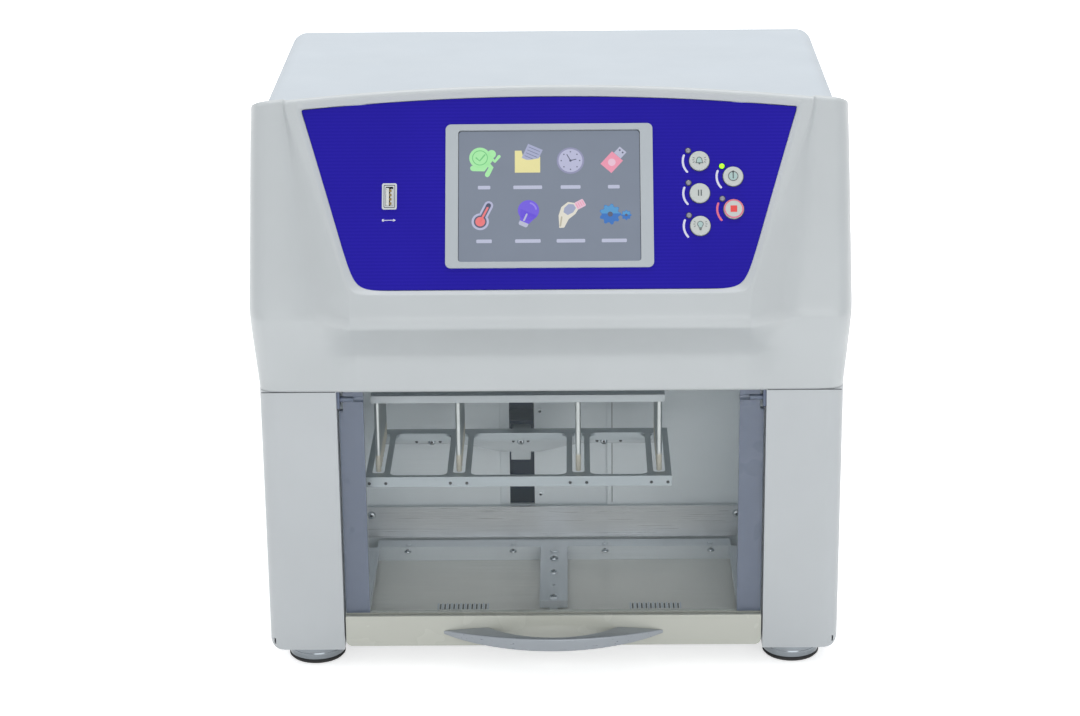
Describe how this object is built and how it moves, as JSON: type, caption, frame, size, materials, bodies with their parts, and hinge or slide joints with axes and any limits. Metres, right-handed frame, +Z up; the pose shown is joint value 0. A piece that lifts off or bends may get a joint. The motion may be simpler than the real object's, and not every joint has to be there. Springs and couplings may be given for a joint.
{
  "type": "nucleic acid extractor",
  "caption": "Bench-top nucleic acid extractor with a moulded sloping control head, a lift-up glass door, and a magnetic-rod rack and sleeve rack over two plate bays.",
  "frame": {"origin": "on the table, under the middle of the bounding box", "axes": "+X to the user's right, +Y to the back, +Z up"},
  "size_m": [0.386, 0.3513, 0.3886],
  "materials": {
    "cabinet_paint": "light grey textured paint",
    "moulded_grey": "light grey moulding, fine satin grain",
    "cover_paint": "cool light grey paint",
    "panel_blue": "deep blue foil with fine level lines",
    "bezel_silver": "silver paint",
    "display_face": "lit display face",
    "port_metal": "plated sheet",
    "led_lens": "clear dome",
    "board_green": "solder mask",
    "supply_case": "plain sheet",
    "black_plastic": "moulded black",
    "rocker_black": "polished black",
    "bright_wire": "bright wire",
    "chamber_steel": "dull stainless sheet",
    "brushed_band": "brushed lengthways",
    "tray_aluminium": "anodised",
    "heater_aluminium": "plain",
    "lamp_glass": "clear tube",
    "machined_aluminium": "machined",
    "ground_steel": "ground and plated",
    "motor_black": "black paint",
    "screw_steel": "rolled thread",
    "shutter_navy": "navy paint",
    "rack_steel": "dull stainless sheet",
    "rod_chrome": "polished",
    "tip_cream": "cream cap",
    "hinge_blue": "blue-grey paint",
    "door_pane": "clear pane",
    "stile_blue": "blue-grey print",
    "rail_cream": "cream satin",
    "handle_silver": "satin silver",
    "button_silver": "pale silver",
    "foot_chrome": "polished ring",
    "pad_rubber": "black rubber"
  },
  "bodies": {
    "chassis": {"base_pan": "cabinet_paint", "front_column_left": "moulded_grey", "front_column_right": "moulded_grey", "side_panel_left": "cabinet_paint", "side_panel_right": "cabinet_paint", "rear_panel": "cabinet_paint", "top_cover": "cover_paint", "head_cover": "moulded_grey", "control_panel": "panel_blue", "screen_bezel": "bezel_silver", "display_module": "display_face", "usb_port": "port_metal", "status_leds": "led_lens", "circuit_boards": "board_green", "power_supply": "supply_case", "power_inlet": "black_plastic", "fan_frame": "black_plastic", "fan_guard": "bright_wire", "chamber_floor": "chamber_steel", "chamber_liner": "chamber_steel", "chamber_back": "chamber_steel", "back_band": "brushed_band", "tray_back_rail": "tray_aluminium", "tray_centre_rail": "tray_aluminium", "tray_guides": "tray_aluminium", "heater_plates": "heater_aluminium", "uv_lamp": "lamp_glass", "drive_uprights": "machined_aluminium", "x_rails": "ground_steel", "x_motor": "motor_black", "hinge_brackets": "hinge_blue", "feet": "foot_chrome", "foot_pads": "pad_rubber"},
    "x_screw": {"x_lead_screw": "screw_steel"},
    "carriage": {"x_carriage": "machined_aluminium", "shutter_plate": "shutter_navy", "z_guides": "ground_steel", "z_motor": "motor_black"},
    "z_screw": {"z_lead_screw": "screw_steel"},
    "sleeve_rack": {"sleeve_slide": "machined_aluminium", "sleeve_bracket": "machined_aluminium", "sleeve_frame": "rack_steel", "rod_motor": "motor_black"},
    "rod_screw": {"rod_lead_screw": "screw_steel"},
    "rod_rack": {"rod_slide": "machined_aluminium", "rod_plate": "machined_aluminium", "magnet_rods": "rod_chrome", "magnet_tips": "tip_cream"},
    "door": {"hinge_pins": "screw_steel", "door_glass": "door_pane", "door_stiles": "stile_blue", "door_rail": "rail_cream", "door_handle": "handle_silver"},
    "bell_button": {"button_bell": "button_silver"},
    "pause_button": {"button_pause": "button_silver"},
    "lamp_button": {"button_lamp": "button_silver"},
    "start_button": {"button_start": "button_silver"},
    "stop_button": {"button_stop": "button_silver"},
    "rocker": {"power_rocker": "rocker_black"},
    "fan": {"fan_rotor": "black_plastic"}
  },
  "joints": [
    {"name": "door_hinge", "type": "hinge", "parent": "chassis", "child": "door", "pos_m": [0, -0.12377, 0.1875], "axis": [-1, 0, 0], "range_deg": [0, 88]},
    {"name": "rack_step", "type": "slide", "parent": "chassis", "child": "carriage", "axis": [1, 0, 0], "range_m": [0, 0.045]},
    {"name": "step_screw_turn", "type": "hinge", "parent": "chassis", "child": "x_screw", "pos_m": [0, 0.08173, 0.162], "axis": [1, 0, 0], "range_deg": [0, 2031]},
    {"name": "sleeve_lower", "type": "slide", "parent": "carriage", "child": "sleeve_rack", "axis": [0, 0, -1], "range_m": [0, 0.047]},
    {"name": "lift_screw_turn", "type": "hinge", "parent": "carriage", "child": "z_screw", "pos_m": [-0.0375, 0.04173, 0.1], "axis": [0, 0, -1], "range_deg": [0, 2121]},
    {"name": "rod_lower", "type": "slide", "parent": "sleeve_rack", "child": "rod_rack", "axis": [0, 0, -1], "range_m": [0, 0.045]},
    {"name": "rod_screw_turn", "type": "hinge", "parent": "sleeve_rack", "child": "rod_screw", "pos_m": [-0.0115, 0.04173, 0.15], "axis": [0, 0, -1], "range_deg": [0, 2188]},
    {"name": "bell_press", "type": "slide", "parent": "chassis", "child": "bell_button", "axis": [0, 0.848, -0.5299], "range_m": [0, 0.0008], "stiffness_N_per_m": 1000, "springref_m": -0.001},
    {"name": "pause_press", "type": "slide", "parent": "chassis", "child": "pause_button", "axis": [0, 0.848, -0.5299], "range_m": [0, 0.0008], "stiffness_N_per_m": 1000, "springref_m": -0.001},
    {"name": "lamp_press", "type": "slide", "parent": "chassis", "child": "lamp_button", "axis": [0, 0.848, -0.5299], "range_m": [0, 0.0008], "stiffness_N_per_m": 1000, "springref_m": -0.001},
    {"name": "start_press", "type": "slide", "parent": "chassis", "child": "start_button", "axis": [0, 0.848, -0.5299], "range_m": [0, 0.0008], "stiffness_N_per_m": 1000, "springref_m": -0.001},
    {"name": "stop_press", "type": "slide", "parent": "chassis", "child": "stop_button", "axis": [0, 0.848, -0.5299], "range_m": [0, 0.0008], "stiffness_N_per_m": 1000, "springref_m": -0.001},
    {"name": "rocker_tip", "type": "hinge", "parent": "chassis", "child": "rocker", "pos_m": [0.14, 0.16773, 0.0768], "axis": [1, 0, 0], "range_deg": [0, 16]},
    {"name": "fan_turn", "type": "hinge", "parent": "chassis", "child": "fan", "pos_m": [0.095, 0.15873, 0.24], "axis": [0, 1, 0], "continuous": true}
  ],
  "couplings": [
    {"joint": "step_screw_turn", "follows": "rack_step", "rad_per_m": 785.4},
    {"joint": "lift_screw_turn", "follows": "sleeve_lower", "rad_per_m": 785.4},
    {"joint": "rod_screw_turn", "follows": "rod_lower", "rad_per_m": 785.4}
  ]
}
